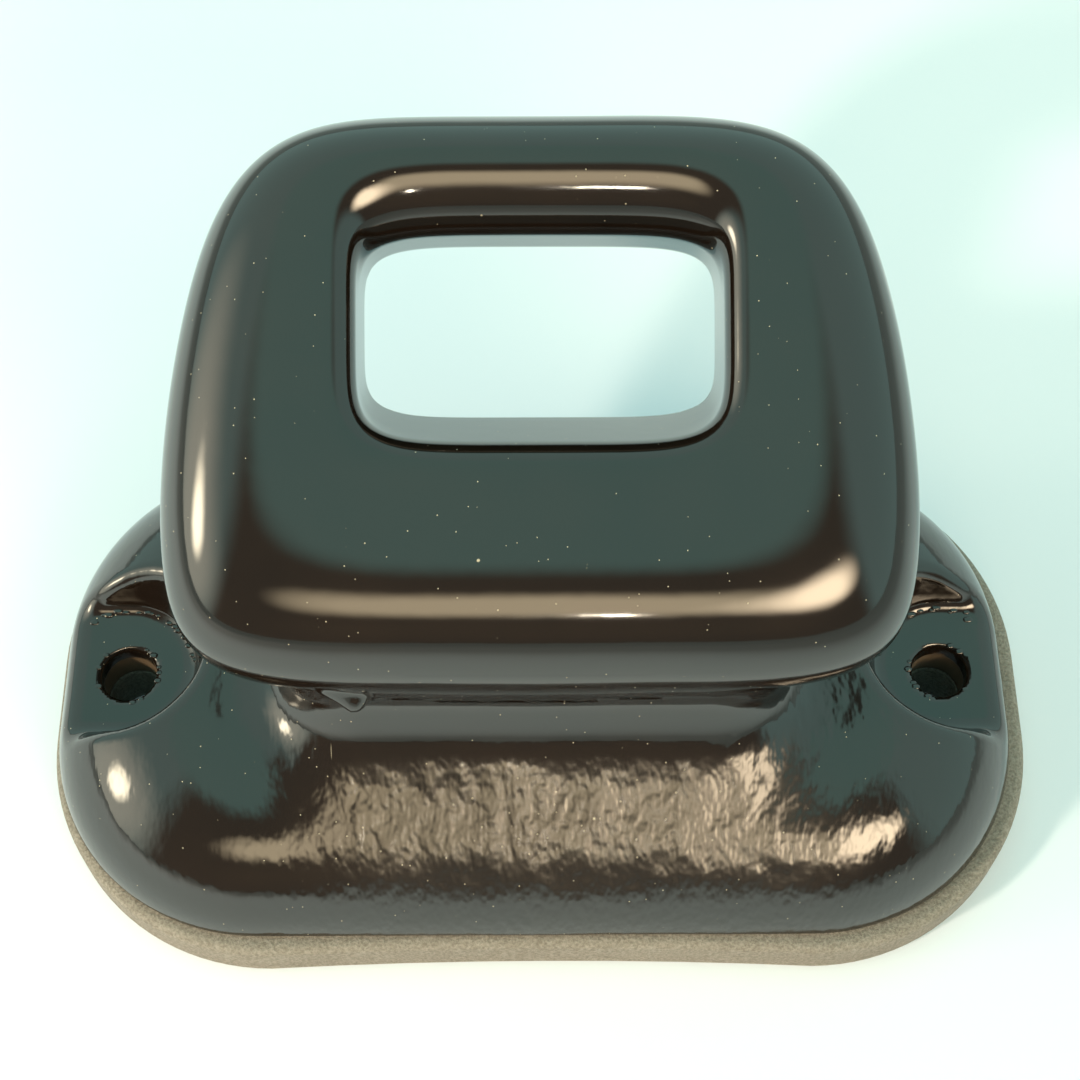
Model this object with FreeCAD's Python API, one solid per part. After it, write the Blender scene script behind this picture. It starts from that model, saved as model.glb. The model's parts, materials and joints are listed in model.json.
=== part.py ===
import FreeCAD, Part
import math
import os

# Glazed insulator on a rubber pad: an oval foot with two open screw seats, a leaning neck and a
# thick ring-shaped head. Millimetres, +Z up, +X along the foot. The origin is the centre of the
# pad's underside, midway between the two screw holes, and the ring leans back towards +Y.

# Foot: an oval block with a domed top
foot_length = 118.0
foot_width = 63.0
foot_corner_r = 26.0
foot_height = 17.0
dome_reach = 20.0
dome_side_power = 1.9
dome_top_power = 1.85
dome_top_angle = 82.0
dome_sections = 9

# Rubber pad: shows all round the foot, and lies slightly off its middle
pad_thick = 7.0
pad_end_margin = 1.5
pad_side_margin = 1.8
pad_side_draw = 0.8
pad_edge_r = 1.2
pad_shift = 0.7
pad_length = foot_length + 2 * pad_end_margin
pad_width = foot_width + 2 * pad_side_margin
pad_corner_r = foot_corner_r + pad_side_margin

# Screw holes, and the seats round them for a screw head with its washer
bore_r = 3.4
bore_end_margin = 9.0
bore_spacing = foot_length - 2 * bore_end_margin
bore_overrun = 2.0
seat_landing = 5.2
seat_floor_r = bore_r + seat_landing
seat_floor_height = 7.0
seat_draft = 12.0
seat_bottom_fillet = 1.2
seat_overrun = 8.0

# Neck
neck_width = 57.0
neck_thick = 23.0
neck_corner_r = 9.0
neck_front = 16.1
neck_lean = 18.0
neck_root = 4.5
neck_tenon = 11.6
neck_flare_r = 12.0
neck_flare_rise = 5.5
neck_sections = 6

# Ring head: v runs up the ring's face, w through its thickness from the back
head_lean = 62.0
head_rise = 4.4
head_behind_neck_front = 7.8
head_set_back = head_behind_neck_front - neck_front
head_shift = 0.6
head_half_width = 41.6
head_height = 62.3
head_thick = 22.0
head_power = 5.6
head_taper_start = 17.3
head_taper = 0.0046
head_front_round = 11.5
head_front_round_top = 6.5
head_back_round = 7.5
head_sections = 7

# Eye through the ring, given by the bars it leaves at the throat, where it is narrowest
side_bar = 22.1
low_bar = 30.3
top_bar = 12.0
eye_half_width = head_half_width - side_bar
eye_throat_low = low_bar
eye_throat_high = head_height - top_bar
eye_power = 5.5
eye_throat_w = 8.0
eye_floor_drop = 4.3
eye_back_flare = 9.0
eye_back_overrun = 3.0
eye_roof_depth = 7.0
eye_roof_flare = 21.7
eye_roof_reach = 10.0
eye_front_overrun = 1.5
eye_sections = 7

# Points on each of the ring's smooth curves, and the distance at which two places count as one
curve_points = 72
touching = 1e-6


def vector(x, y, z):
    return FreeCAD.Vector(x, y, z)


def long_side(start, end, draw):
    """Straight edge, or an arc whose middle is drawn in towards the outline's middle line."""
    if draw == 0:
        return Part.LineSegment(start, end)
    inward = draw if start.y < 0 else -draw
    return Part.Arc(start, vector((start.x + end.x) / 2, start.y + inward, start.z), end)


def rounded_rectangle(x_low, x_high, y_low, y_high, corner_r, z, draw=0):
    """Closed wire of four sides and four quarter arcs at height z."""
    slant = corner_r * (1 - math.sqrt(0.5))
    x_in_low = x_low + corner_r
    x_in_high = x_high - corner_r
    y_in_low = y_low + corner_r
    y_in_high = y_high - corner_r
    edges = [
        long_side(vector(x_in_low, y_low, z), vector(x_in_high, y_low, z), draw),
        Part.Arc(vector(x_in_high, y_low, z), vector(x_high - slant, y_low + slant, z),
                 vector(x_high, y_in_low, z)),
        Part.LineSegment(vector(x_high, y_in_low, z), vector(x_high, y_in_high, z)),
        Part.Arc(vector(x_high, y_in_high, z), vector(x_high - slant, y_high - slant, z),
                 vector(x_in_high, y_high, z)),
        long_side(vector(x_in_high, y_high, z), vector(x_in_low, y_high, z), draw),
        Part.Arc(vector(x_in_low, y_high, z), vector(x_low + slant, y_high - slant, z),
                 vector(x_low, y_in_high, z)),
        Part.LineSegment(vector(x_low, y_in_high, z), vector(x_low, y_in_low, z)),
        Part.Arc(vector(x_low, y_in_low, z), vector(x_low + slant, y_low + slant, z),
                 vector(x_in_low, y_low, z)),
    ]
    return Part.Wire([edge.toShape() for edge in edges])


def head_point(x, v, w):
    """Point of the ring's own frame, x across, v up its face and w out of it, in the part's frame."""
    tilt = math.radians(head_lean)
    y = head_set_back + v * math.sin(tilt) - w * math.cos(tilt)
    z = pad_thick + foot_height + head_rise + v * math.cos(tilt) + w * math.sin(tilt)
    return vector(head_shift + x, y, z)


def soft_square(half_width, v_low, v_high, power, w, taper=0.0):
    """Closed smooth curve |x/a|^p + |v/b|^p = 1 about its middle, narrowed by taper * (v - start)^2."""
    middle = (v_low + v_high) / 2
    half_height = (v_high - v_low) / 2
    points = []
    for step in range(curve_points):
        angle = 2 * math.pi * step / curve_points
        across = abs(math.cos(angle)) / half_width
        along = abs(math.sin(angle)) / half_height
        radius = (across ** power + along ** power) ** (-1 / power)
        v = middle + radius * math.sin(angle)
        drawn_in = taper * max(0.0, v - head_taper_start) ** 2
        x = radius * math.cos(angle) * (1 - drawn_in / half_width)
        points.append(head_point(x, v, w))
    curve = Part.BSplineCurve()
    curve.interpolate(Points=points, PeriodicFlag=True)
    return Part.Wire([curve.toShape()])


def foot_block():
    """Rounded block whose side bends over into the top on a superellipse."""
    half_length = foot_length / 2
    half_width = foot_width / 2
    wires = []
    for section in range(dome_sections):
        angle = math.radians(dome_top_angle * section / (dome_sections - 1))
        inset = dome_reach * (1 - math.cos(angle) ** (2 / dome_side_power))
        z = pad_thick + foot_height * math.sin(angle) ** (2 / dome_top_power)
        wires.append(rounded_rectangle(-half_length + inset, half_length - inset,
                                       -half_width + inset, half_width - inset,
                                       foot_corner_r - inset, z))
    return Part.makeLoft(wires, True, False)


def neck_block():
    """Leaning column from inside the foot to inside the ring's lower bar, flared at its root."""
    crown_z = pad_thick + foot_height
    slope = math.tan(math.radians(neck_lean))
    top_rise = head_rise + neck_tenon
    rises = [neck_flare_rise - (neck_root + neck_flare_rise) * (1 - step / neck_sections)
             for step in range(neck_sections)]
    rises += [neck_flare_rise + (top_rise - neck_flare_rise) * step / neck_sections
              for step in range(neck_sections + 1)]
    wires = []
    for rise in rises:
        below = max(0.0, neck_flare_rise - rise)
        flare = neck_flare_r - math.sqrt(neck_flare_r ** 2 - below ** 2)
        half_width = neck_width / 2 + flare
        front = -neck_front + rise * slope
        wires.append(rounded_rectangle(-half_width, half_width, front - flare,
                                       front + neck_thick + flare, neck_corner_r + flare,
                                       crown_z + rise))
    return Part.makeLoft(wires, True, False)


def head_block():
    """Solid ring blank: soft squares that shrink over quarter rounds at the back and front edges."""
    wires = []
    for section in range(head_sections):
        turn = math.pi / 2 * section / (head_sections - 1)
        inset = head_back_round * (1 - math.sin(turn))
        w = head_back_round * (1 - math.cos(turn))
        wires.append(soft_square(head_half_width - inset, inset, head_height - inset,
                                 head_power, w, head_taper))
    for section in range(head_sections):
        turn = math.pi / 2 * section / (head_sections - 1)
        inset = head_front_round * (1 - math.cos(turn))
        inset_top = head_front_round_top * (1 - math.cos(turn))
        w = head_thick - head_front_round * (1 - math.sin(turn))
        wires.append(soft_square(head_half_width - inset, inset, head_height - inset_top,
                                 head_power, w, head_taper))
    return Part.makeLoft(wires, True, False)


def eye_tool():
    """Passage that is narrowest at its throat, with a sloping floor and a roof that rolls forward."""
    sections = []
    depth = eye_throat_w + eye_back_overrun
    for step in range(eye_sections):
        turn = math.pi / 2 * step / eye_sections
        w = -eye_back_overrun + depth * (1 - math.cos(turn))
        spread = eye_back_flare * (1 - math.sin(turn))
        sections.append((w, eye_half_width + spread, eye_throat_low - spread, eye_throat_high + spread))
    front_w = head_thick + eye_front_overrun
    floor_slope = eye_floor_drop / (head_thick - eye_throat_w)
    for step in range(eye_sections + 1):
        w = eye_throat_w + (front_w - eye_throat_w) * step / eye_sections
        forward = max(0.0, w - head_thick + eye_roof_depth) / eye_roof_reach
        roof = eye_throat_high + eye_roof_flare * (1 - math.sqrt(1 - forward ** 2))
        sections.append((w, eye_half_width, eye_throat_low - floor_slope * (w - eye_throat_w), roof))
    wires = [soft_square(half_width, low, high, eye_power, w) for w, half_width, low, high in sections]
    return Part.makeLoft(wires, True, False)


def seat_tool(side):
    """U-shaped pocket round one screw hole, drafted wider upwards and open to the foot's end."""
    centre_x = side * bore_spacing / 2
    end_x = side * (foot_length / 2 + seat_overrun)
    floor_z = pad_thick + seat_floor_height
    top_z = pad_thick + foot_height + seat_overrun
    top_r = seat_floor_r + (top_z - floor_z) * math.tan(math.radians(seat_draft))
    wires = []
    for z, radius in ((floor_z, seat_floor_r), (top_z, top_r)):
        near = vector(centre_x, -radius, z)
        far = vector(centre_x, radius, z)
        end_near = vector(end_x, -radius, z)
        end_far = vector(end_x, radius, z)
        edges = [
            Part.Arc(near, vector(centre_x - side * radius, 0, z), far),
            Part.LineSegment(far, end_far),
            Part.LineSegment(end_far, end_near),
            Part.LineSegment(end_near, near),
        ]
        wires.append(Part.Wire([edge.toShape() for edge in edges]))
    tool = Part.makeLoft(wires, True, True)
    floor_edges = [edge for edge in tool.Edges
                   if all(abs(vertex.Z - floor_z) < touching for vertex in edge.Vertexes)
                   and any(abs(vertex.X - end_x) > touching for vertex in edge.Vertexes)]
    return tool.makeFillet(seat_bottom_fillet, floor_edges)


def bore_tool(side, z_low, z_high):
    """Cylinder on one screw's axis, run past both heights."""
    start = vector(side * bore_spacing / 2, 0, z_low - bore_overrun)
    return Part.makeCylinder(bore_r, z_high - z_low + 2 * bore_overrun, start)


def glazed_body():
    """Foot, neck and ring in one casting, with the eye, the screw seats and the screw holes cut out."""
    ring = head_block().cut(eye_tool())
    body = foot_block().fuse([neck_block(), ring])
    for side in (-1, 1):
        body = body.cut(seat_tool(side))
        body = body.cut(bore_tool(side, pad_thick, pad_thick + foot_height))
    return body


def rubber_pad():
    """Flat oval pad with softly rounded edges, a little larger than the foot."""
    half_length = pad_length / 2
    half_width = pad_width / 2
    outline = rounded_rectangle(pad_shift - half_length, pad_shift + half_length,
                                -half_width, half_width, pad_corner_r, 0.0, pad_side_draw)
    pad = Part.Face(outline).extrude(vector(0, 0, pad_thick))
    rim = [edge for edge in pad.Edges if abs(edge.Vertexes[0].Z - edge.Vertexes[-1].Z) < touching]
    pad = pad.makeFillet(pad_edge_r, rim)
    for side in (-1, 1):
        pad = pad.cut(bore_tool(side, 0.0, pad_thick))
    return pad


os.makedirs("parts", exist_ok=True)
for name, shape in (("glazed_body", glazed_body()), ("rubber_pad", rubber_pad())):
    shape.exportStep("parts/" + name + ".step")
    print(name, "valid", shape.isValid(), "solids", len(shape.Solids), "volume", round(shape.Volume))
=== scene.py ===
import itertools
import json
import math

import bpy
import numpy as np
from mathutils import Matrix, Vector


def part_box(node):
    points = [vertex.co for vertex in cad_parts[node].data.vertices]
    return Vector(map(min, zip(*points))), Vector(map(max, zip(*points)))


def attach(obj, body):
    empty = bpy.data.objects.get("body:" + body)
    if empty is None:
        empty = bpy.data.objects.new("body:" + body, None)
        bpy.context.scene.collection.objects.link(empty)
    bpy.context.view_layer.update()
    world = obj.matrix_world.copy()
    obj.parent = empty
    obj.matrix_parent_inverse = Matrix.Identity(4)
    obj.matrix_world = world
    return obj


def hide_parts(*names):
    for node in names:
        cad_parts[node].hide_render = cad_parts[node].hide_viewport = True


# A glazed ring-head insulator on a rubber pad. Shapes are worked out in millimetres from the pad's
# underside and turned to metres where a mesh is made. The casting is the zero level of a distance
# formula, because a grid of two parameters can't give one skin with three holes and blended fillets.

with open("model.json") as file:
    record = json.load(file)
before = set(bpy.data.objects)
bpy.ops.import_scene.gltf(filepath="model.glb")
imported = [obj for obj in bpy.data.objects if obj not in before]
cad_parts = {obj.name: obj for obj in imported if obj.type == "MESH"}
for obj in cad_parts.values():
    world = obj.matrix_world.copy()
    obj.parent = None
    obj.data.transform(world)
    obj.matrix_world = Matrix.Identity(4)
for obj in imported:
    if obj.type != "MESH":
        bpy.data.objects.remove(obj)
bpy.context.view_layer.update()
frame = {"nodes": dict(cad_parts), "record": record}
MM = 0.001

# Heights and lengths that the frame gives
BODY_LOW, BODY_HIGH = (np.array(corner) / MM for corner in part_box("glazed_body"))
PAD_HIGH = np.array(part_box("rubber_pad")[1]) / MM
MOUNTS = {mount["name"]: mount for mount in frame["record"]["mounts"]}
HOLES = MOUNTS["mounting_holes"]["dims"]

# Foot
FOOT_HALF_LENGTH = (BODY_HIGH[0] - BODY_LOW[0]) / 2
FOOT_HALF_WIDTH = 31.5
FOOT_CORNER_R = 26.0
FOOT_HEIGHT = 17.0
FOOT_Z = PAD_HIGH[2]
DOME_REACH = 20.0
DOME_SIDE_POWER = 1.9
DOME_TOP_POWER = 1.85

# Screw seats and holes
BORE_X = HOLES["spacing_x_mm"] / 2
BORE_R = HOLES["hole_r_mm"]
SEAT_FLOOR_R = 8.6
SEAT_FLOOR = 7.0
SEAT_DRAFT = math.radians(12.0)

# Neck
NECK_HALF_WIDTH = 28.5
NECK_HALF_THICK = 11.5
NECK_CORNER_R = 9.0
NECK_FRONT = -16.1
NECK_LEAN = math.radians(18.0)
NECK_TOP_OUT = 14.0
NECK_TOP_UP = 24.0

# Ring head: up runs up its face, out runs through its thickness from the back
HEAD_LEAN = math.radians(62.0)
HEAD_RISE = 4.4
HEAD_SET_BACK = -8.3
HEAD_SHIFT = 0.6
HEAD_HALF_WIDTH = 41.6
HEAD_HEIGHT = 62.9
HEAD_THICK = 22.0
HEAD_POWER = 5.6
HEAD_TAPER_START = 17.3
HEAD_TAPER = 0.0046
FRONT_ROUND = 11.5
FRONT_ROUND_TOP = 6.5
FRONT_REACH = 15.0
FRONT_POWER = 2.2
BACK_ROUND = 7.5
DEEPEST_INSET = 24.0

# Eye
EYE_HALF_WIDTH = 19.5
EYE_POWER = 5.5
THROAT_OUT = 8.0
THROAT_LOW = 30.3
THROAT_HIGH = 49.4
EYE_FLOOR_DROP = 4.3
EYE_FLOOR_LIMIT = 1.2
EYE_BACK_FLARE = 9.0
EYE_BACK_OVERRUN = 3.0
EYE_ROOF_START = 15.0
EYE_ROOF_FLARE = 21.7
EYE_ROOF_REACH = 10.0
EYE_ROOF_LIMIT = 0.93
EYE_LIP = 4.0

# How far the rounding reaches where the casting's shapes meet
FOOT_EDGE_ROUND = 1.2
SEAT_FLOOR_ROUND = 2.5
SEAT_RIM_ROUND = 1.8
BORE_RIM_ROUND = 0.8
NECK_FILLET = 9.0
RING_FILLET = 3.0
DRIP_FILLET = 1.4

# Lattice noise: number of random values, and one prime for each axis to mix its corners
NOISE_TABLE = 4096
HASH_PRIMES = np.array([73856093, 19349663, 83492791])

# Parting ledge on the neck: it wanders, bows up to both sides and stands out more the higher it goes
LEDGE_HEIGHT = 35.2
LEDGE_OUT = 0.35
LEDGE_GROWTH = 0.2
LEDGE_EDGE_ROUND = 0.3
LEDGE_WANDER = 0.4
LEDGE_WANDER_SIZE = 2.6
LEDGE_BOW = 0.004
LEDGE_BOW_X = -2

# Run of glaze under the ring: its ends, its radius at the tip, and the share of that at the top
DRIP_TOP = np.array([-22.6, -13.2, 38.6])
DRIP_TIP = np.array([-20.0, -13.6, 36.8])
DRIP_R = 1.5
DRIP_TOP_SHARE = 0.55

# Sand-cast grain: where it lies, its fine and coarse heights and sizes, and the soft swells
ROUGH_CENTRE = 6.0
ROUGH_HALF_LENGTH = 43.0
ROUGH_FADE = 20.0
ROUGH_OVER_FOOT = 4.5
ROUGH_HEIGHT_FADE = 3
ROUGH_RING_FADE = 4
SMOOTH_SHARE = 0.15
FOOT_SIDE_HEIGHT = 6
FOOT_SIDE_FADE = 4
FOOT_SIDE_SHARE = 0.12
FINE_GRAIN = 0.075
FINE_GRAIN_SIZE = 1.7
COARSE_GRAIN = 0.12
COARSE_GRAIN_SIZE = 3.6
GRAIN_DRAWN_OUT = (1.0, 1.6, 1.6)
SWELL = 0.05
SWELL_SIZE = 13.0

# Where the glaze stops: its ragged lower edge, and how deep it runs into the holes
GLAZE_EDGE_LIFT = 0.35
GLAZE_EDGE_SIZE = 7.0
GLAZE_IN_BORE = 2.2
GLAZE_BORE_WANDER = 0.5
GLAZE_BORE_SIZE = 1.2
GLAZE_BORE_FADE = 0.5
BORE_WALL_REACH = 0.3
BARE_FOOT_HEIGHT = 0.5
BARE_FOOT_FADE = 0.3

# Drops of glaze round the holes' rims and along the pockets' walls: shape and depth of each, steps and
# wander of the angle, and ranges of size and of distance from the rim or the wall
DROP_SHAPE = (1.3, 0.9, 0.5)
DROP_SUNK = 0.45
RIM_DROP_TURN = math.pi / 9
RIM_DROP_WANDER = 0.12
RIM_DROP_OUT = (0.35, 0.6)
RIM_DROP_SIZE = (0.25, 0.5)
RIM_DROPS_LEFT_OUT = 0.55
WALL_DROP_TURN = math.pi / 24
WALL_DROP_WANDER = 0.06
WALL_DROP_START = 0.2
WALL_DROP_IN = (-0.3, 0.6)
WALL_DROP_SIZE = (0.25, 0.6)
WALL_DROP_LIFT = 0.5
POCKET_END = 0.6

MESH_STEP = 0.64
DROP_MESH_STEP = 0.45

# Glaze: spacing, radius and share of each kind of mark, how strongly it shows, roughness, and bump heights
FINE_DUST = (1.05, 0.09, 0.36)
COARSE_DUST = (6.0, 0.2, 0.3)
DUST_STRENGTH = 0.75
SCRATCHES = (2.6, 0.07, 0.16)
SCRATCH_SQUEEZE = 0.06
SCRATCH_STRENGTH = 0.3
GLAZE_ROUGHNESS = (0.045, 0.11)
GRAIN_ROUGHNESS = 0.24
GRAIN_BUMP = 0.15
GRAIN_SQUEEZE = 0.55
GLAZE_BUMP = 0.006
GLAZE_IOR = 1.75

# Camera: its angles, target and distance in the frame, in millimetres, and its lens
CAMERA_HEIGHT = math.radians(61.66)
CAMERA_SIDE = math.radians(-0.76)
CAMERA_ROLL = math.radians(0.46)
CAMERA_DISTANCE = 253.2
CAMERA_TARGET = Vector((0.74, 17.41, 16.0))
CAMERA_LENS = 66.7

# Floor, in metres: painted shade darkens it between two distances from a point behind the object's left side,
# where the light seems to fall off
FLOOR_HALF_LENGTH = 3.0
FLOOR_CENTRE = (-0.05, 0.05, 0)
FLOOR_NEAR_REACH = 0.15
FLOOR_FAR_REACH = 0.36
FLOOR_NEAR = (0.78, 0.83, 0.90, 1)
FLOOR_FAR = (0.36, 0.39, 0.42, 1)
FLOOR_LIFT = 0.03

# Room, as linear colours where 1 is white. Each soft light has its height and side in degrees, its half
# height and half side in degrees, and its colour.
CEILING = (0.52, 0.97, 0.87, 1)
COOL_WALL = (0.6, 0.95, 0.88, 1)
DIM_FRONT = (0.19, 0.18, 0.15, 1)
ROOM_LIGHTS = [(10, -80, 34, 34, (2.4, 2.4, 1.95)),
               (15, -80, 10, 9, (17.0, 15.0, 11.0)),
               (12, 3, 12, 32, (0.25, 0.22, 0.17)),
               (32, 0, 11.5, 28, (4.2, 3.4, 2.2)),
               (29, 32, 12, 24, (14.5, 11.5, 7.8))]


def soft_min(a, b, reach):
    """Lower of two distances, rounded where they differ by less than the reach."""
    near = np.maximum(reach - np.abs(a - b), 0) / reach
    return np.minimum(a, b) - near ** 2 * reach / 4


def soft_max(a, b, reach):
    """Higher of two distances, rounded where they differ by less than the reach."""
    return -soft_min(-a, -b, reach)


def rounded_rectangle(x, y, half_x, half_y, corner_r):
    """Exact distance to a rectangle with round corners, negative inside it."""
    over_x = np.abs(x) - half_x + corner_r
    over_y = np.abs(y) - half_y + corner_r
    outside = np.hypot(np.maximum(over_x, 0), np.maximum(over_y, 0))
    return outside + np.minimum(np.maximum(over_x, over_y), 0) - corner_r


def smooth_noise(points, size, seed):
    """Smooth random field from -1 to 1: lattice values a size apart, blended by weights 3t^2 - 2t^3."""
    table = np.random.default_rng(seed).uniform(-1, 1, NOISE_TABLE)
    scaled = points / size
    base = np.floor(scaled).astype(np.int64)
    part = scaled - base
    weight = part * part * (3 - 2 * part)
    total = np.zeros(points.shape[:-1])
    for corner in itertools.product((0, 1), repeat=3):
        share = np.prod(np.where(corner, weight, 1 - weight), axis=-1)
        place = (base + corner) * HASH_PRIMES
        total += share * table[(place[..., 0] ^ place[..., 1] ^ place[..., 2]) % NOISE_TABLE]
    return total


def soft_square(x, v, half_width, low, high, power):
    """First-order distance to |x/a|^p + |v/b|^p = 1: (r - 1) over the slope of its radius r."""
    half_height = (high - low) / 2
    across = np.abs(x) / half_width + 1e-9
    along = np.abs(v - (low + high) / 2) / half_height + 1e-9
    radius = (across ** power + along ** power) ** (1 / power)
    slope = np.hypot((across / radius) ** (power - 1) / half_width,
                     (along / radius) ** (power - 1) / half_height)
    return (radius - 1) / slope


def ring_coordinates(points):
    """Across the ring, up its face and out through its thickness."""
    y = points[..., 1] - HEAD_SET_BACK
    z = points[..., 2] - FOOT_Z - FOOT_HEIGHT - HEAD_RISE
    up = y * math.sin(HEAD_LEAN) + z * math.cos(HEAD_LEAN)
    out = z * math.sin(HEAD_LEAN) - y * math.cos(HEAD_LEAN)
    return points[..., 0] - HEAD_SHIFT, up, out


def eye_distance(x, up, out):
    """Passage through the ring: narrowest at the throat, sloping floor, roof that rolls forward."""
    behind = np.clip(1 - (out + EYE_BACK_OVERRUN) / (THROAT_OUT + EYE_BACK_OVERRUN), 0, 1)
    spread = EYE_BACK_FLARE * (1 - np.sqrt(1 - behind ** 2))
    ahead = np.maximum(out - THROAT_OUT, 0) / (HEAD_THICK - THROAT_OUT)
    forward = np.clip((out - EYE_ROOF_START) / EYE_ROOF_REACH, 0, EYE_ROOF_LIMIT)
    low = THROAT_LOW - EYE_FLOOR_DROP * np.minimum(ahead, EYE_FLOOR_LIMIT) - spread
    high = THROAT_HIGH + EYE_ROOF_FLARE * (1 - np.sqrt(1 - forward ** 2)) + spread
    return soft_square(x, up, EYE_HALF_WIDTH + spread, low, high, EYE_POWER)


def inset_depth(x, v, top_share):
    """How far the ring's outline has to shrink to pass a point, by Newton's steps on the radius.

    At depth s the outline is |x/(a-s)|^p + |(v-m)/t|^p = 1, with its low end at s and its top end at
    the height less top_share * s.
    """
    x = np.abs(x)
    depth = np.minimum(np.minimum(HEAD_HALF_WIDTH - x, v), (HEAD_HEIGHT - v) / top_share)
    depth = np.clip(depth, -DEEPEST_INSET, DEEPEST_INSET)
    power = HEAD_POWER
    for _ in range(3):
        wide = HEAD_HALF_WIDTH - depth
        tall = (HEAD_HEIGHT - (1 + top_share) * depth) / 2
        along = (v - (HEAD_HEIGHT + (1 - top_share) * depth) / 2) / tall
        across_rate = (x / wide) ** (power - 1)
        along_rate = np.abs(along) ** (power - 1)
        radius = (across_rate * x / wide + along_rate * np.abs(along)) ** (1 / power) + 1e-9
        along_slope = (np.abs(along) * (1 + top_share) - np.sign(along) * (1 - top_share)) / (2 * tall)
        slope = radius ** (1 - power) * (across_rate * x / wide ** 2 + along_rate * along_slope)
        depth = np.clip(depth - (radius - 1) / np.maximum(slope, 0.01), -DEEPEST_INSET, DEEPEST_INSET)
    return depth


def ring_distance(x, up, out):
    """Soft square plate, softly bent over at its front edges and quarter round behind, and its eye."""
    drawn_in = HEAD_TAPER * np.maximum(up - HEAD_TAPER_START, 0) ** 2
    wide_x = x * HEAD_HALF_WIDTH / (HEAD_HALF_WIDTH - np.minimum(drawn_in, HEAD_HALF_WIDTH / 2))
    front_inset = inset_depth(wide_x, up, FRONT_ROUND_TOP / FRONT_ROUND)
    back_inset = inset_depth(wide_x, up, 1.0)
    sideways = np.maximum(1 - front_inset / FRONT_REACH, 0)
    outwards = np.maximum((out - HEAD_THICK) / FRONT_ROUND + 1, 0)
    front = (sideways ** FRONT_POWER + outwards ** 2) ** (2 / (FRONT_POWER + 2))
    back = np.hypot(np.maximum(1 - back_inset / BACK_ROUND, 0), np.maximum(1 - out / BACK_ROUND, 0))
    plate = np.maximum((front - 1) * (FRONT_REACH + FRONT_ROUND) / 2, (back - 1) * BACK_ROUND)
    return soft_max(plate, -eye_distance(x, up, out), EYE_LIP)


def foot_distance(points):
    """Oval block whose side bends over into the top on a superellipse."""
    x, y, z = points[..., 0], points[..., 1], points[..., 2] - FOOT_Z
    inset = -rounded_rectangle(x, y, FOOT_HALF_LENGTH, FOOT_HALF_WIDTH, FOOT_CORNER_R)
    sideways = np.maximum(1 - inset / DOME_REACH, 0)
    upwards = np.maximum(z / FOOT_HEIGHT, 0)
    mean_power = (DOME_SIDE_POWER + DOME_TOP_POWER) / 2
    radius = (sideways ** DOME_SIDE_POWER + upwards ** DOME_TOP_POWER) ** (1 / mean_power)
    dome = (radius - 1) * (DOME_REACH + FOOT_HEIGHT) / 2
    ragged = GLAZE_EDGE_LIFT * np.maximum(smooth_noise(points * (1, 1, 0), GLAZE_EDGE_SIZE, seed=3), 0)
    return soft_max(dome, ragged - z, FOOT_EDGE_ROUND)


def neck_distance(points):
    """Leaning column with round corners from inside the foot to inside the ring's lower bar.

    Above a wandering parting line its skin stands out a little, and more the higher it goes.
    """
    x, up, out = ring_coordinates(points)
    rise = points[..., 2] - FOOT_Z - FOOT_HEIGHT
    middle_y = NECK_FRONT + NECK_HALF_THICK + rise * math.tan(NECK_LEAN)
    column = rounded_rectangle(points[..., 0], points[..., 1] - middle_y,
                               NECK_HALF_WIDTH, NECK_HALF_THICK, NECK_CORNER_R)
    wander = LEDGE_WANDER * smooth_noise(points * (1, 1, 0), LEDGE_WANDER_SIZE, seed=5)
    wander = wander + LEDGE_BOW * (x - LEDGE_BOW_X) ** 2
    over_line = points[..., 2] - LEDGE_HEIGHT - wander
    ledge = np.maximum(column - LEDGE_OUT - LEDGE_GROWTH * np.maximum(over_line, 0), -over_line)
    column = soft_min(column, ledge, LEDGE_EDGE_ROUND)
    root = -FOOT_HEIGHT / 2 - rise
    return np.max([column, root, out - NECK_TOP_OUT, up - NECK_TOP_UP], axis=0)


def drip_distance(points):
    """Run of glaze under the ring: a round-ended rod that swells towards its tip."""
    along = DRIP_TIP - DRIP_TOP
    share = np.clip((points - DRIP_TOP) @ along / (along @ along), 0, 1)
    off = np.linalg.norm(points - DRIP_TOP - share[..., None] * along, axis=-1)
    return off - DRIP_R * (DRIP_TOP_SHARE + (1 - DRIP_TOP_SHARE) * share)


def seat_distance(points):
    """U-shaped pockets round both holes, drafted wider upwards, open to the foot's ends."""
    x = np.abs(points[..., 0]) - BORE_X
    y, z = points[..., 1], points[..., 2] - FOOT_Z
    across = np.hypot(np.minimum(x, 0), y)
    wall = (across - SEAT_FLOOR_R) * math.cos(SEAT_DRAFT) - (z - SEAT_FLOOR) * math.sin(SEAT_DRAFT)
    return soft_max(wall, SEAT_FLOOR - z, SEAT_FLOOR_ROUND)


def casting_distance(points):
    """Distance to the casting: foot and neck with their fillet, less seats and holes, plus ring and drip."""
    body = soft_min(foot_distance(points), neck_distance(points), NECK_FILLET)
    body = soft_max(body, -seat_distance(points), SEAT_RIM_ROUND)
    bore = np.hypot(np.abs(points[..., 0]) - BORE_X, points[..., 1]) - BORE_R
    body = soft_max(body, -bore, BORE_RIM_ROUND)
    body = soft_min(body, ring_distance(*ring_coordinates(points)), RING_FILLET)
    return soft_min(body, drip_distance(points), DRIP_FILLET)


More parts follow.
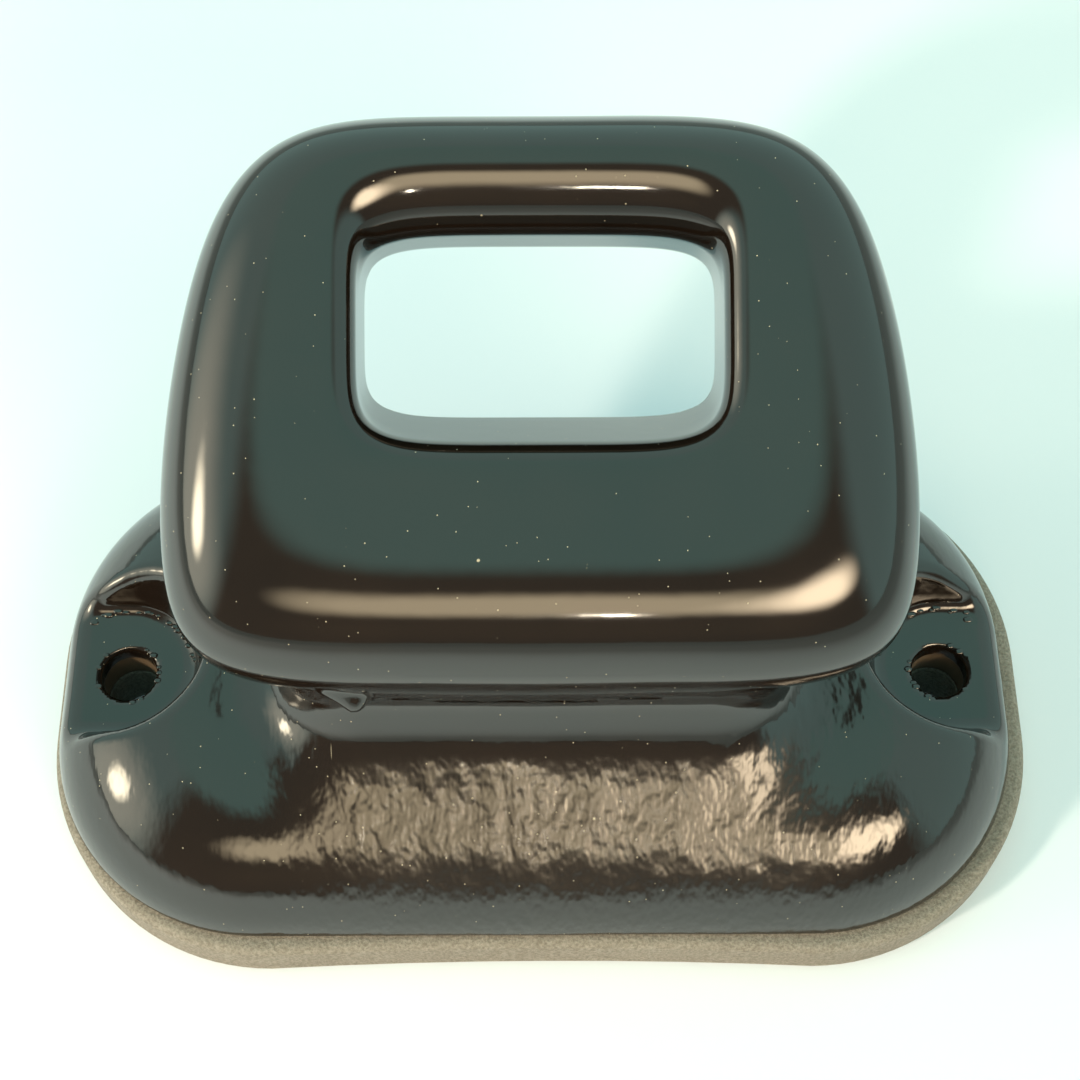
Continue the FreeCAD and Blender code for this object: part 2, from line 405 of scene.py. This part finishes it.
def roughness_share(points):
    """1 on the sand-cast middle of foot and lower neck, little at the foot's ends, 0 on the ring."""
    ring = ring_distance(*ring_coordinates(points))
    low = np.clip((FOOT_Z + FOOT_HEIGHT + ROUGH_OVER_FOOT - points[..., 2]) / ROUGH_HEIGHT_FADE, 0, 1)
    from_end = ROUGH_HALF_LENGTH - np.abs(points[..., 0] - ROUGH_CENTRE)
    middle = np.clip(from_end / ROUGH_FADE, SMOOTH_SHARE, 1)
    return low * middle * np.clip(ring / ROUGH_RING_FADE, 0, 1)


def relief(points):
    """Height of the skin's unevenness: sand-cast grain drawn out down the slopes, and soft swells."""
    drawn_out = points / GRAIN_DRAWN_OUT
    grain = (FINE_GRAIN * smooth_noise(drawn_out, FINE_GRAIN_SIZE, seed=11)
             + COARSE_GRAIN * smooth_noise(drawn_out, COARSE_GRAIN_SIZE, seed=12))
    foot_side = np.clip((points[..., 2] - FOOT_Z - FOOT_SIDE_HEIGHT) / FOOT_SIDE_FADE, FOOT_SIDE_SHARE, 1)
    swell = SWELL * smooth_noise(points, SWELL_SIZE, seed=13)
    return roughness_share(points) * foot_side * grain + swell


def skin_distance(points):
    """Distance to the casting with its unevenness."""
    return casting_distance(points) - relief(points)


def slope_of(distance, points, step=0.02):
    """Gradient of a distance by central differences."""
    parts = []
    for axis in range(3):
        shift = np.zeros(3)
        shift[axis] = step
        parts.append((distance(points + shift) - distance(points - shift)) / (2 * step))
    return np.stack(parts, axis=-1)


def zero_surface(distance, low, high, step):
    """Skin where a distance is zero: one vertex in each crossed cell, one face round each crossed edge."""
    axes = [np.arange(low[i] - 2 * step, high[i] + 3 * step, step) for i in range(3)]
    grid = np.stack(np.meshgrid(*axes, indexing="ij"), axis=-1)
    value = distance(grid)
    inside = value < 0
    shape = np.array(value.shape)
    total = np.zeros(tuple(shape) + (3,))
    count = np.zeros(tuple(shape), int)
    crossings = []
    for axis in range(3):
        first = [slice(None)] * 3
        second = [slice(None)] * 3
        first[axis] = slice(0, -1)
        second[axis] = slice(1, None)
        a, b = value[tuple(first)], value[tuple(second)]
        edge = np.argwhere(inside[tuple(first)] != inside[tuple(second)])
        a, b = a[tuple(edge.T)], b[tuple(edge.T)]
        place = edge.astype(float)
        place[:, axis] += a / (a - b)
        crossings.append((axis, edge, a < 0))
        others = [i for i in range(3) if i != axis]
        for back_one in (0, 1):
            for back_two in (0, 1):
                cell = edge.copy()
                cell[:, others[0]] -= back_one
                cell[:, others[1]] -= back_two
                np.add.at(total, tuple(cell.T), place)
                np.add.at(count, tuple(cell.T), 1)
    number = np.full(tuple(shape), -1)
    used = count > 0
    number[used] = np.arange(used.sum())
    vertices = np.array([axes[i][0] for i in range(3)]) + total[used] / count[used][:, None] * step
    faces = []
    for axis, edge, rising in crossings:
        one, two = (axis + 1) % 3, (axis + 2) % 3
        corners = []
        for back_one, back_two in ((0, 0), (1, 0), (1, 1), (0, 1)):
            cell = edge.copy()
            cell[:, one] -= back_one
            cell[:, two] -= back_two
            corners.append(number[tuple(cell.T)])
        quad = np.stack(corners, axis=1)
        quad[~rising] = quad[~rising][:, ::-1]
        faces.append(quad)
    return vertices, np.concatenate(faces)


def settle(distance, points, most):
    """Points moved down the slope of a distance until they lie on its zero level."""
    for _ in range(4):
        slope = slope_of(distance, points)
        move = distance(points)[:, None] * slope / np.maximum((slope ** 2).sum(1, keepdims=True), 0.05)
        length = np.linalg.norm(move, axis=1, keepdims=True)
        points = points - move * np.minimum(1, most / np.maximum(length, 1e-9))
    return points


def mesh_piece(name, vertices, faces, normals=None):
    """Mesh object from arrays of vertices in millimetres and of four-cornered faces."""
    mesh = bpy.data.meshes.new(name)
    mesh.vertices.add(len(vertices))
    mesh.vertices.foreach_set("co", (vertices * MM).astype(np.float32).ravel())
    mesh.loops.add(faces.size)
    mesh.loops.foreach_set("vertex_index", faces.astype(np.int32).ravel())
    mesh.polygons.add(len(faces))
    mesh.polygons.foreach_set("loop_start", np.arange(0, faces.size, 4, dtype=np.int32))
    mesh.polygons.foreach_set("loop_total", np.full(len(faces), 4, np.int32))
    mesh.update(calc_edges=True)
    mesh.validate()
    mesh.shade_smooth()
    if normals is not None:
        mesh.normals_split_custom_set_from_vertices(normals.tolist())
    piece = bpy.data.objects.new(name, mesh)
    bpy.context.scene.collection.objects.link(piece)
    return piece


def make_casting():
    """Foot, neck and ring as one skin, then the grain laid on it along its normals."""
    vertices, faces = zero_surface(casting_distance, BODY_LOW, BODY_HIGH, MESH_STEP)
    vertices = settle(casting_distance, vertices, MESH_STEP)
    slope = slope_of(casting_distance, vertices)
    slope /= np.linalg.norm(slope, axis=1, keepdims=True)
    vertices = vertices + slope * relief(vertices)[:, None]
    normals = slope_of(skin_distance, vertices)
    normals /= np.linalg.norm(normals, axis=1, keepdims=True)
    piece = mesh_piece("glazed_casting", vertices, faces, normals)
    in_bore = np.hypot(np.abs(vertices[:, 0]) - BORE_X, vertices[:, 1]) < BORE_R + BORE_WALL_REACH
    wander = GLAZE_BORE_WANDER * smooth_noise(vertices, GLAZE_BORE_SIZE, seed=21)
    depth = FOOT_Z + SEAT_FLOOR - vertices[:, 2] + wander
    bare = np.where(in_bore, np.clip((depth - GLAZE_IN_BORE) / GLAZE_BORE_FADE, 0, 1), 0)
    bare = np.maximum(bare, np.clip((FOOT_Z + BARE_FOOT_HEIGHT - vertices[:, 2]) / BARE_FOOT_FADE, 0, 1))
    add_attribute(piece, "bare", bare)
    add_attribute(piece, "grain", roughness_share(vertices))
    return piece


def add_attribute(piece, name, values):
    """One number for each vertex, for the material to read."""
    attribute = piece.data.attributes.new(name, "FLOAT", "POINT")
    attribute.data.foreach_set("value", values.astype(np.float32))


def make_beads():
    """Drops of glaze round the screw holes and along the lower edge of the pockets' back walls.

    Each is a unit sphere stretched to its own size, mostly sunk into the surface that it lies on.
    """
    draw = np.random.default_rng(31)
    sphere, faces = zero_surface(lambda points: np.linalg.norm(points, axis=-1) - 1,
                                 (-1, -1, -1), (1, 1, 1), DROP_MESH_STEP)
    sphere /= np.linalg.norm(sphere, axis=1, keepdims=True)
    centres = []
    sizes = []
    for side in (-1, 1):
        for turn in np.arange(0, 2 * math.pi, RIM_DROP_TURN):
            if draw.random() < RIM_DROPS_LEFT_OUT:
                continue
            reach = BORE_R + draw.uniform(*RIM_DROP_OUT)
            angle = turn + draw.uniform(-RIM_DROP_WANDER, RIM_DROP_WANDER)
            centres.append((side * BORE_X + reach * math.cos(angle), reach * math.sin(angle), SEAT_FLOOR))
            sizes.append(draw.uniform(*RIM_DROP_SIZE))
        for turn in np.arange(WALL_DROP_START, math.pi - WALL_DROP_START, WALL_DROP_TURN):
            reach = SEAT_FLOOR_R - draw.uniform(*WALL_DROP_IN)
            angle = turn + draw.uniform(-WALL_DROP_WANDER, WALL_DROP_WANDER)
            size = draw.uniform(*WALL_DROP_SIZE)
            if side * math.cos(angle) > POCKET_END:
                continue
            centres.append((side * BORE_X + reach * math.cos(angle), reach * math.sin(angle),
                            SEAT_FLOOR + WALL_DROP_LIFT))
            sizes.append(size)
    centres = np.array(centres) + (0, 0, FOOT_Z)
    sizes = np.array(sizes)[:, None] * DROP_SHAPE
    centres = settle(casting_distance, centres, 1.0) - sizes * (0, 0, DROP_SUNK)
    vertices = (centres[:, None] + sphere * sizes[:, None]).reshape(-1, 3)
    offsets = np.arange(len(centres))[:, None, None] * len(sphere)
    return mesh_piece("glaze_beads", vertices, (faces + offsets).reshape(-1, 4))


def colour(code):
    """Linear colour of an sRGB hex value."""
    channels = [int(code[i:i + 2], 16) / 255 for i in (1, 3, 5)]
    return tuple(c / 12.92 if c <= 0.04045 else ((c + 0.055) / 1.055) ** 2.4 for c in channels) + (1.0,)


def add_node(tree, kind, inputs=None, **settings):
    """Node with its settings; each input is a plain value or the socket that feeds it."""
    node = tree.nodes.new(kind)
    for name, value in settings.items():
        setattr(node, name, value)
    for name, value in (inputs or {}).items():
        if isinstance(value, bpy.types.NodeSocket):
            tree.links.new(value, node.inputs[name])
        else:
            node.inputs[name].default_value = value
    return node


def new_material(name):
    """Empty material and its node tree."""
    material = bpy.data.materials.new(name)
    material.use_nodes = True
    material.node_tree.nodes.clear()
    return material, material.node_tree


def specks(tree, place, spacing, radius, share):
    """Mask of small marks: round spots in a share of a lattice's cells, with spacing and radius in mm."""
    cells = add_node(tree, "ShaderNodeTexVoronoi", {"Vector": place, "Scale": 1 / spacing})
    spot = add_node(tree, "ShaderNodeMapRange",
                    {"Value": cells.outputs["Distance"], "From Min": radius / spacing,
                     "From Max": 0.6 * radius / spacing})
    chosen = add_node(tree, "ShaderNodeSeparateColor", {"Color": cells.outputs["Color"]})
    kept = add_node(tree, "ShaderNodeMath", {0: chosen.outputs["Red"], 1: share}, operation="LESS_THAN")
    return add_node(tree, "ShaderNodeMath", {0: spot.outputs["Result"], 1: kept.outputs[0]},
                    operation="MULTIPLY").outputs[0]


def glaze_material():
    """Dark brown glaze, dipped and fired: near-black and mirror-smooth, with dust and fine scratches.

    Over the sand-cast grain it is duller and dimpled. Where it stops, inside the holes and under the
    foot, the bare brown body shows.
    """
    material, tree = new_material("dark_glaze")
    coordinates = add_node(tree, "ShaderNodeTexCoord").outputs["Object"]
    place = add_node(tree, "ShaderNodeMapping", {"Vector": coordinates, "Scale": (1 / MM,) * 3}).outputs[0]
    bare = add_node(tree, "ShaderNodeAttribute", attribute_name="bare").outputs["Fac"]
    grain = add_node(tree, "ShaderNodeAttribute", attribute_name="grain").outputs["Fac"]

    # Dust: many fine spots and a few larger ones
    fine = specks(tree, place, *FINE_DUST)
    coarse = specks(tree, place, *COARSE_DUST)
    dust = add_node(tree, "ShaderNodeMath", {0: fine, 1: coarse}, operation="MAXIMUM").outputs[0]
    dust = add_node(tree, "ShaderNodeMath", {0: dust, 1: DUST_STRENGTH}, operation="MULTIPLY").outputs[0]

    # Fine scratches: spots drawn out up and down the object
    squeeze = (1 / MM, SCRATCH_SQUEEZE / MM, SCRATCH_SQUEEZE / MM)
    lengthways = add_node(tree, "ShaderNodeMapping", {"Vector": coordinates, "Scale": squeeze}).outputs[0]
    scratch = specks(tree, lengthways, *SCRATCHES)
    scratch = add_node(tree, "ShaderNodeMath", {0: scratch, 1: SCRATCH_STRENGTH},
                       operation="MULTIPLY").outputs[0]
    marks = add_node(tree, "ShaderNodeMath", {0: dust, 1: scratch}, operation="MAXIMUM").outputs[0]

    cloud = add_node(tree, "ShaderNodeTexNoise",
                     {"Vector": place, "Scale": 0.08, "Detail": 3.0}).outputs["Fac"]
    depth = add_node(tree, "ShaderNodeMix", {0: cloud, 6: colour("#120d0a"), 7: colour("#1f1610")},
                     data_type="RGBA").outputs[2]
    body = add_node(tree, "ShaderNodeMix", {0: cloud, 6: colour("#5d4b38"), 7: colour("#7a6650")},
                    data_type="RGBA").outputs[2]
    tint = add_node(tree, "ShaderNodeMix", {0: marks, 6: depth, 7: colour("#cbbfa6")},
                    data_type="RGBA").outputs[2]
    tint = add_node(tree, "ShaderNodeMix", {0: bare, 6: tint, 7: body}, data_type="RGBA").outputs[2]

    polish = add_node(tree, "ShaderNodeMapRange",
                      {"Value": cloud, "To Min": GLAZE_ROUGHNESS[0], "To Max": GLAZE_ROUGHNESS[1]}).outputs[0]
    dull = add_node(tree, "ShaderNodeMath", {0: grain, 1: GRAIN_ROUGHNESS}, operation="MULTIPLY").outputs[0]
    for other in (dull, marks, bare):
        polish = add_node(tree, "ShaderNodeMath", {0: polish, 1: other}, operation="MAXIMUM").outputs[0]

    squeeze = (1 / MM, GRAIN_SQUEEZE / MM, GRAIN_SQUEEZE / MM)
    drawn_out = add_node(tree, "ShaderNodeMapping", {"Vector": coordinates, "Scale": squeeze}).outputs[0]
    cast = add_node(tree, "ShaderNodeTexNoise",
                    {"Vector": drawn_out, "Scale": 1.0, "Detail": 1.0}).outputs["Fac"]
    cast = add_node(tree, "ShaderNodeMath", {0: cast, 1: grain}, operation="MULTIPLY").outputs[0]
    skin = add_node(tree, "ShaderNodeTexNoise", {"Vector": place, "Scale": 0.5, "Detail": 0.0}).outputs["Fac"]
    cast_bump = add_node(tree, "ShaderNodeBump", {"Height": cast, "Distance": GRAIN_BUMP * MM})
    bump = add_node(tree, "ShaderNodeBump",
                    {"Height": skin, "Distance": GLAZE_BUMP * MM, "Normal": cast_bump.outputs[0]})
    shader = add_node(tree, "ShaderNodeBsdfPrincipled",
                      {"Base Color": tint, "Roughness": polish, "IOR": GLAZE_IOR, "Normal": bump.outputs[0]})
    add_node(tree, "ShaderNodeOutputMaterial", {"Surface": shader.outputs[0]})
    return material


def rubber_material():
    """Moulded mineral-filled rubber, weathered: matt, dry and finely speckled."""
    material, tree = new_material("moulded_rubber")
    coordinates = add_node(tree, "ShaderNodeTexCoord").outputs["Object"]
    place = add_node(tree, "ShaderNodeMapping", {"Vector": coordinates, "Scale": (1 / MM,) * 3}).outputs[0]
    speck = add_node(tree, "ShaderNodeTexNoise", {"Vector": place, "Scale": 2.6, "Detail": 3.0,
                                                  "Roughness": 0.7}).outputs["Fac"]
    speck = add_node(tree, "ShaderNodeMapRange",
                     {"Value": speck, "From Min": 0.35, "From Max": 0.65}).outputs[0]
    cloud = add_node(tree, "ShaderNodeTexNoise",
                     {"Vector": place, "Scale": 0.16, "Detail": 2.0}).outputs["Fac"]
    fine = add_node(tree, "ShaderNodeMix", {0: speck, 6: colour("#70685d"), 7: colour("#928a80")},
                    data_type="RGBA").outputs[2]
    worn = add_node(tree, "ShaderNodeMix", {0: speck, 6: colour("#7b7368"), 7: colour("#a39c92")},
                    data_type="RGBA").outputs[2]
    tint = add_node(tree, "ShaderNodeMix", {0: cloud, 6: fine, 7: worn}, data_type="RGBA").outputs[2]
    bump = add_node(tree, "ShaderNodeBump", {"Height": speck, "Distance": 0.08 * MM})
    shader = add_node(tree, "ShaderNodeBsdfPrincipled",
                      {"Base Color": tint, "Roughness": 0.85, "Normal": bump.outputs[0]})
    add_node(tree, "ShaderNodeOutputMaterial", {"Surface": shader.outputs[0]})
    return material


glaze = glaze_material()
casting = make_casting()
casting.data.materials.append(glaze)
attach(casting, "root")
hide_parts("glazed_body")
beads = make_beads()
beads.data.materials.append(glaze)
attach(beads, "root")
pad = frame["nodes"]["rubber_pad"]
pad.data.materials.clear()
pad.data.materials.append(rubber_material())


def toward(height, side):
    """Direction from the object; its height and side angles are degrees, and 0 is the front."""
    up, across = math.radians(height), math.radians(side)
    return Vector((math.sin(across) * math.cos(up), -math.cos(across) * math.cos(up), math.sin(up)))


def area_light(name, height, side, distance, size, radiance, tint, reflected=True):
    """Rectangular lamp aimed at the ring, which the glaze may leave unreflected.

    Its power comes from the radiance that it should have, where 1 is a white surface in full light.
    """
    aim = toward(height, side)
    data = bpy.data.lights.new(name, "AREA")
    data.shape = "RECTANGLE"
    data.size, data.size_y = size
    data.energy = radiance * math.pi * size[0] * size[1]
    data.color = tint
    lamp = bpy.data.objects.new(name, data)
    lamp.location = Vector((0, 0, 0.03)) + aim * distance
    lamp.rotation_euler = aim.to_track_quat("Z", "Y").to_euler()
    lamp.visible_glossy = reflected
    bpy.context.scene.collection.objects.link(lamp)


def camera():
    """Camera at the height angle from which the object was seen, aimed between ring and foot."""
    level = math.cos(CAMERA_HEIGHT)
    away = Vector((math.sin(CAMERA_SIDE) * level, -math.cos(CAMERA_SIDE) * level, math.sin(CAMERA_HEIGHT)))
    data = bpy.data.cameras.new("camera")
    data.sensor_width = 36.0
    data.lens = CAMERA_LENS
    data.clip_start = 0.01
    view = bpy.data.objects.new("camera", data)
    view.matrix_world = (Matrix.Translation((CAMERA_TARGET + away * CAMERA_DISTANCE) * MM)
                         @ away.to_track_quat("Z", "Y").to_matrix().to_4x4()
                         @ Matrix.Rotation(CAMERA_ROLL, 4, "Z"))
    bpy.context.scene.collection.objects.link(view)
    bpy.context.scene.camera = view


def floor():
    """Pale floor with painted shade that darkens it far away, a little lifted for the camera and reflections;
    it keeps its shadow.
    """
    mesh = bpy.data.meshes.new("floor")
    half = FLOOR_HALF_LENGTH
    corners = [(-half, -half, 0), (half, -half, 0), (half, half, 0), (-half, half, 0)]
    mesh.from_pydata(corners, [], [(0, 1, 2, 3)])
    plane = bpy.data.objects.new("floor", mesh)
    bpy.context.scene.collection.objects.link(plane)
    material, tree = new_material("pale_floor")
    rays = add_node(tree, "ShaderNodeLightPath")
    seen = add_node(tree, "ShaderNodeMath",
                    {0: rays.outputs["Is Camera Ray"], 1: rays.outputs["Is Glossy Ray"]},
                    operation="MAXIMUM").outputs[0]
    seen = add_node(tree, "ShaderNodeMath", {0: seen, 1: rays.outputs["Is Transmission Ray"]},
                    operation="MAXIMUM").outputs[0]
    place = add_node(tree, "ShaderNodeTexCoord").outputs["Object"]
    reach = add_node(tree, "ShaderNodeVectorMath", {0: place, 1: FLOOR_CENTRE},
                     operation="DISTANCE").outputs["Value"]
    # Painted shade: the floor's colour goes from pale near the centre to dark far from it, in place of light
    # that falls off
    far = add_node(tree, "ShaderNodeMapRange",
                   {"Value": reach, "From Min": FLOOR_NEAR_REACH, "From Max": FLOOR_FAR_REACH},
                   interpolation_type="SMOOTHSTEP").outputs[0]
    tone = add_node(tree, "ShaderNodeMix", {0: far, 6: FLOOR_NEAR, 7: FLOOR_FAR},
                    data_type="RGBA").outputs[2]
    lift = add_node(tree, "ShaderNodeMath", {0: seen, 1: FLOOR_LIFT}, operation="MULTIPLY").outputs[0]
    paint = add_node(tree, "ShaderNodeBsdfDiffuse", {"Color": tone})
    glow = add_node(tree, "ShaderNodeEmission", {"Color": tone, "Strength": lift})
    both = add_node(tree, "ShaderNodeAddShader", {0: paint.outputs[0], 1: glow.outputs[0]})
    add_node(tree, "ShaderNodeOutputMaterial", {"Surface": both.outputs[0]})
    mesh.materials.append(material)


def studio():
    """Room seen by the glaze: cool ceiling and walls, a dim wall in front, and the soft-edged lights."""
    world = bpy.data.worlds.new("studio")
    bpy.context.scene.world = world
    world.use_nodes = True
    tree = world.node_tree
    tree.nodes.clear()
    direction = add_node(tree, "ShaderNodeTexCoord").outputs["Generated"]
    axes = add_node(tree, "ShaderNodeSeparateXYZ", {0: direction})
    sideways = add_node(tree, "ShaderNodeMath", {0: axes.outputs["X"]}, operation="ABSOLUTE").outputs[0]
    aside = add_node(tree, "ShaderNodeMath", {0: axes.outputs["Y"], 1: sideways}, operation="ADD").outputs[0]
    cool_share = add_node(tree, "ShaderNodeMapRange", {"Value": aside, "From Min": 0.05, "From Max": 0.45},
                          interpolation_type="SMOOTHSTEP").outputs[0]
    sky_share = add_node(tree, "ShaderNodeMapRange", {"Value": axes.outputs["Z"], "From Min": 0.76,
                                                      "From Max": 0.87},
                         interpolation_type="SMOOTHSTEP").outputs[0]
    wall = add_node(tree, "ShaderNodeMix", {0: cool_share, 6: DIM_FRONT, 7: COOL_WALL},
                    data_type="RGBA").outputs[2]
    room = add_node(tree, "ShaderNodeMix", {0: sky_share, 6: wall, 7: CEILING},
                    data_type="RGBA").outputs[2]
    for height, side, half_height, half_side, tint in ROOM_LIGHTS:
        aim = toward(height, side)
        extents = (math.sin(math.radians(half_side)), math.sin(math.radians(half_height)), 1.0)
        local = add_node(tree, "ShaderNodeMapping",
                         {"Vector": direction, "Location": tuple(aim), "Scale": extents,
                          "Rotation": tuple(aim.to_track_quat("Z", "Y").to_euler())},
                         vector_type="TEXTURE").outputs[0]
        radius = add_node(tree, "ShaderNodeVectorMath", {0: local}, operation="LENGTH").outputs["Value"]
        share = add_node(tree, "ShaderNodeMapRange", {"Value": radius, "From Min": 1.0, "From Max": 0.3},
                         interpolation_type="SMOOTHSTEP").outputs[0]
        room = add_node(tree, "ShaderNodeMix", {0: share, 6: room, 7: tint + (1.0,)},
                        data_type="RGBA").outputs[2]
    light = add_node(tree, "ShaderNodeBackground", {"Color": room, "Strength": 1.0})
    add_node(tree, "ShaderNodeOutputWorld", {"Surface": light.outputs[0]})


studio()
area_light("key_lamp", 31, -55, 0.6, (0.05, 0.05), 330.0, (1.0, 0.86, 0.68), reflected=False)
area_light("front_lamp", 26, 3, 0.6, (0.012, 0.012), 160.0, (1.0, 0.88, 0.7))
camera()
floor()
bpy.context.scene.view_settings.view_transform = "Standard"
